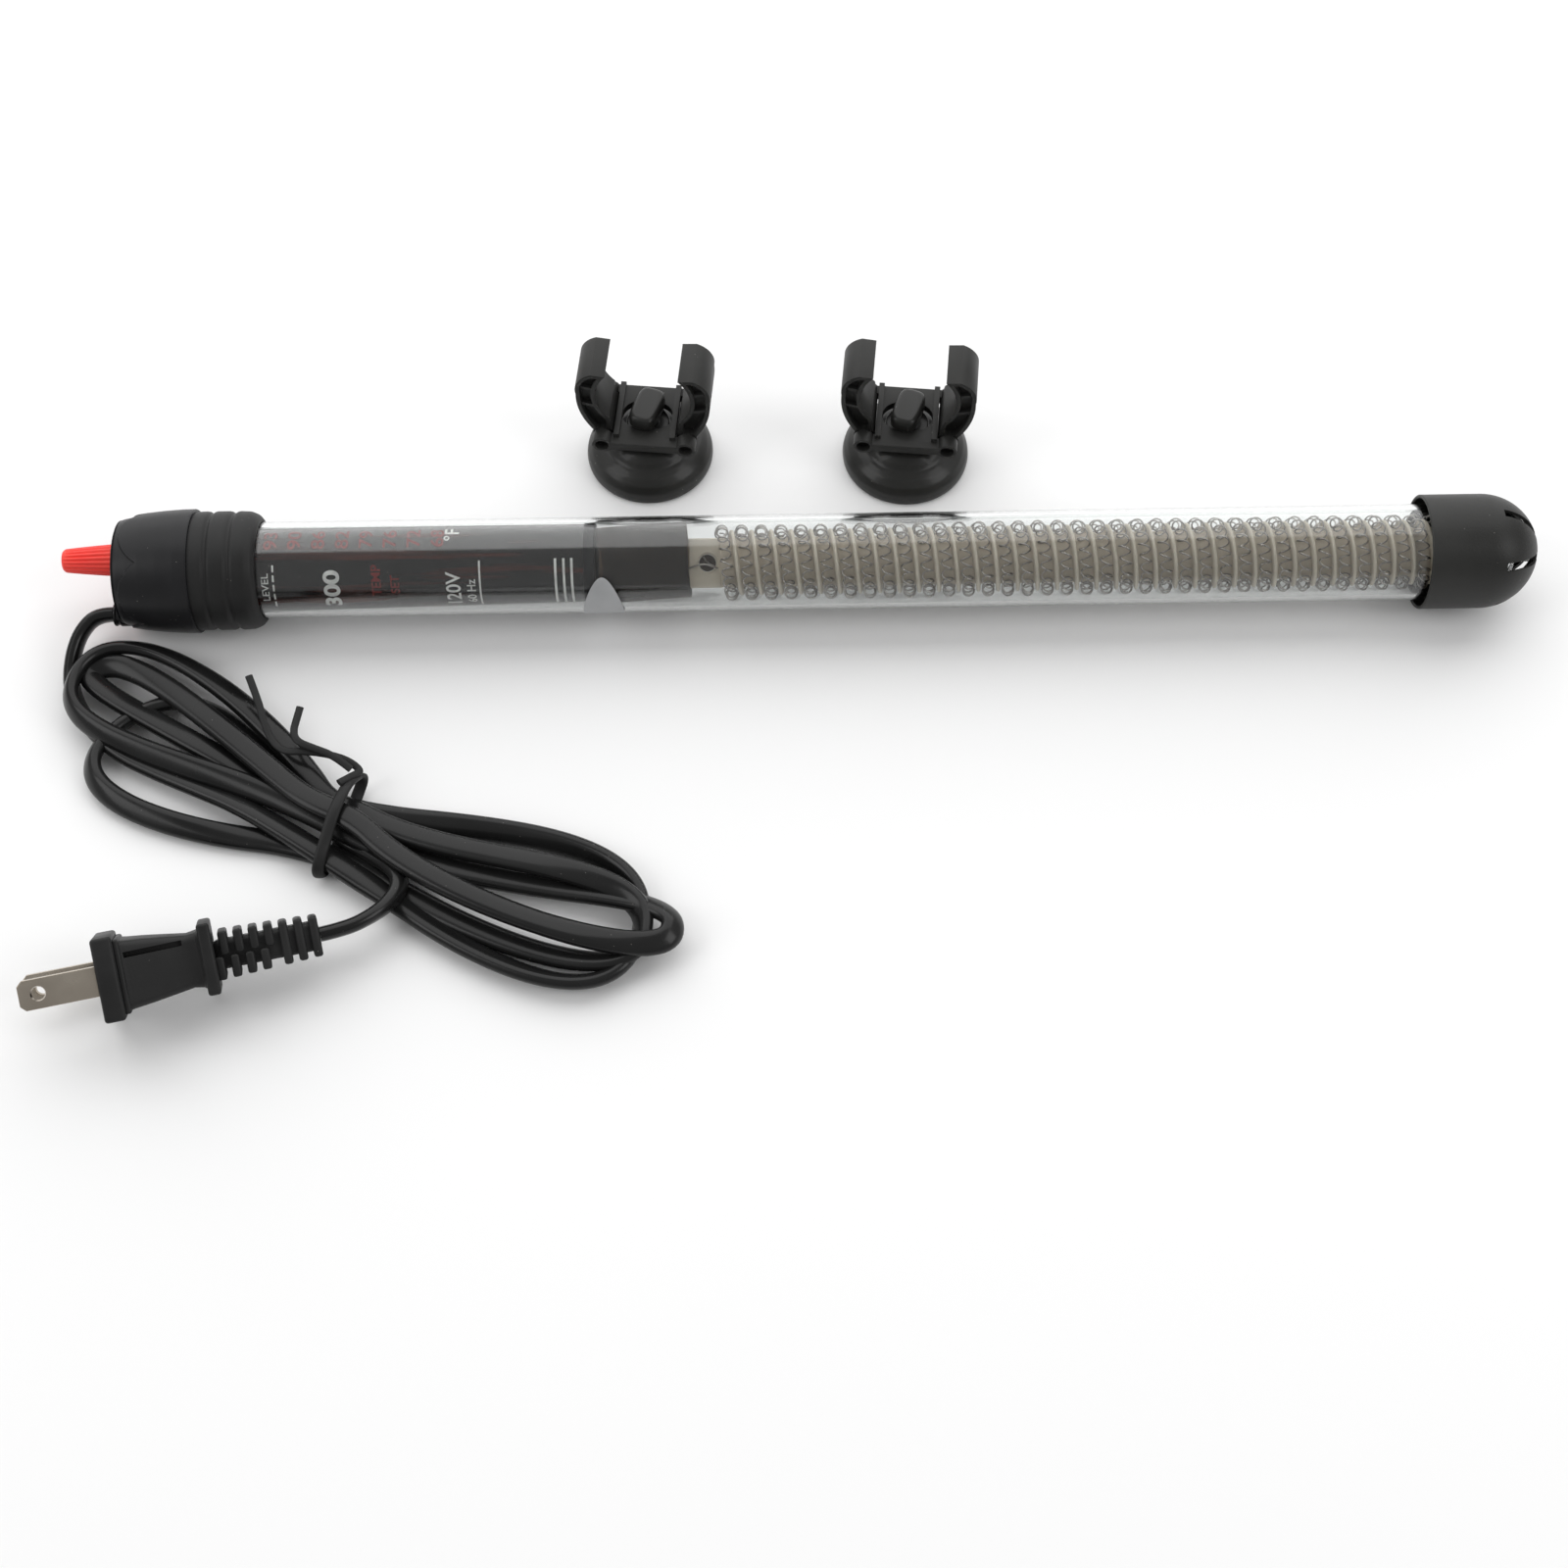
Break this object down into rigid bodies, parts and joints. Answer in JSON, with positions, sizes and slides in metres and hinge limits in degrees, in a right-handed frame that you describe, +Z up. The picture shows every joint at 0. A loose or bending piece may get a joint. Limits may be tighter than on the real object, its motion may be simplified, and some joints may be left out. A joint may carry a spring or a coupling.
{
  "type": "submersible aquarium heater",
  "caption": "Submersible aquarium heater: glass tube with thermostat and wound ceramic core, adjusting knob, guard cap, suction-cup holders and tied flat cord with plug.",
  "frame": {"origin": "on the glass tube's axis at the lip of the rubber head, where the bare glass begins", "axes": "+X along the tube from the head to the guard cap, +Y away from the coiled cord towards the holders, +Z up from the surface that everything lies on"},
  "size_m": [0.3392, 0.1725, 0.035],
  "materials": {
    "blade_metal": "plated blades, bright edges",
    "board_brown": "laminate board",
    "capacitor_blue": "dipped coating",
    "ceramic_beige": "unglazed ceramic",
    "clear_glass": "clear borosilicate tube, smooth",
    "coil_metal": "oxidised resistance wire",
    "contact_silver": "polished contact faces",
    "cord_black": "glossy flexible cord sheath",
    "cup_rubber": "glossy soft vinyl",
    "guard_black": "fine-textured black moulding",
    "head_black": "smooth satin black moulding",
    "holder_black": "satin black moulding",
    "housing_print": "black with printed scale and marks",
    "knob_red": "bright red, fine flutes",
    "lamp_glass": "small neon lamp",
    "magnet_grey": "sintered magnet",
    "plug_black": "satin moulded plug",
    "pointer_red": "bright red",
    "resistor_tan": "ceramic body",
    "screw_brass": "turned brass",
    "sleeve_rubber": "soft black rubber, fine sheen",
    "smoke_film": "smoky translucent film",
    "sticker_grey": "plain grey label",
    "strip_steel": "thin strip",
    "tie_black": "plastic-covered wire",
    "wire_sleeve": "wire insulation"
  },
  "bodies": {
    "heater": {"bimetal_anchor": "screw_brass", "bimetal_strip": "strip_steel", "board_lead_live": "wire_sleeve", "board_lead_neutral": "wire_sleeve", "ceramic_core": "ceramic_beige", "contact_arm": "strip_steel", "contact_arm_anchor": "screw_brass", "cord_gland": "cord_black", "cord_hank": "cord_black", "cord_lead": "cord_black", "cord_tail": "cord_black", "core_end_disc": "ceramic_beige", "filter_capacitor": "capacitor_blue", "fixed_contact": "contact_silver", "glass_tube": "clear_glass", "guard_cap": "guard_black", "head_cap": "head_black", "head_sleeve": "sleeve_rubber", "heating_coil": "coil_metal", "housing_end_ring": "housing_print", "insulating_sleeve": "smoke_film", "lamp_resistor": "resistor_tan", "lead_wire_live": "wire_sleeve", "lead_wire_neutral": "wire_sleeve", "moving_contact": "contact_silver", "pilot_lamp": "lamp_glass", "plug_blade_far": "blade_metal", "plug_blade_near": "blade_metal", "plug_body": "plug_black", "plug_strain_relief": "plug_black", "return_wire": "coil_metal", "seal_plug": "sleeve_rubber", "snap_magnet": "magnet_grey", "thermostat_board": "board_brown", "thermostat_housing": "housing_print", "tip_pad": "sleeve_rubber", "tube_sticker": "sticker_grey", "twist_tie": "tie_black"},
    "knob": {"adjusting_knob": "knob_red", "adjusting_screw": "screw_brass"},
    "pointer": {"temperature_pointer": "pointer_red"},
    "cup_a": {"suction_cup_a": "cup_rubber"},
    "frame_a": {"bracket_a": "holder_black"},
    "left_claw_a": {"left_jaw_a": "holder_black"},
    "right_claw_a": {"right_jaw_a": "holder_black"},
    "cup_b": {"suction_cup_b": "cup_rubber"},
    "frame_b": {"bracket_b": "holder_black"},
    "left_claw_b": {"left_jaw_b": "holder_black"},
    "right_claw_b": {"right_jaw_b": "holder_black"}
  },
  "joints": [
    {"name": "knob_turn", "type": "hinge", "parent": "heater", "child": "knob", "pos_m": [0, 0.00229, 0.00161], "axis": [1, 0, 0], "range_deg": [-965, 727]},
    {"name": "pointer_slide", "type": "slide", "parent": "heater", "child": "pointer", "axis": [1, 0, 0], "range_m": [-0.0214, 0.0161]},
    {"name": "holder_lift_a", "type": "slide", "parent": "heater", "child": "cup_a", "axis": [0, 0, 1], "range_m": [0, 0.06]},
    {"name": "bracket_swivel_a", "type": "hinge", "parent": "cup_a", "child": "frame_a", "pos_m": [0.0877, 0.0428, -0.0002], "axis": [0, 0, 1], "range_deg": [-50, 50]},
    {"name": "left_jaw_hinge_a", "type": "hinge", "parent": "frame_a", "child": "left_claw_a", "pos_m": [0.0778, 0.04384, -0.0002], "axis": [0.1045, 0.9945, 0], "range_deg": [-40, 8]},
    {"name": "right_jaw_hinge_a", "type": "hinge", "parent": "frame_a", "child": "right_claw_a", "pos_m": [0.0976, 0.04176, -0.0002], "axis": [0.1045, 0.9945, 0], "range_deg": [-8, 40]},
    {"name": "holder_lift_b", "type": "slide", "parent": "heater", "child": "cup_b", "axis": [0, 0, 1], "range_m": [0, 0.06]},
    {"name": "bracket_swivel_b", "type": "hinge", "parent": "cup_b", "child": "frame_b", "pos_m": [0.1497, 0.0412, -0.0002], "axis": [0, 0, 1], "range_deg": [-50, 50]},
    {"name": "left_jaw_hinge_b", "type": "hinge", "parent": "frame_b", "child": "left_claw_b", "pos_m": [0.13981, 0.04224, -0.0002], "axis": [0.1045, 0.9945, 0], "range_deg": [-40, 8]},
    {"name": "right_jaw_hinge_b", "type": "hinge", "parent": "frame_b", "child": "right_claw_b", "pos_m": [0.15959, 0.04016, -0.0002], "axis": [0.1045, 0.9945, 0], "range_deg": [-8, 40]}
  ],
  "couplings": [
    {"joint": "knob_turn", "follows": "pointer_slide", "rad_per_m": 785.4}
  ]
}
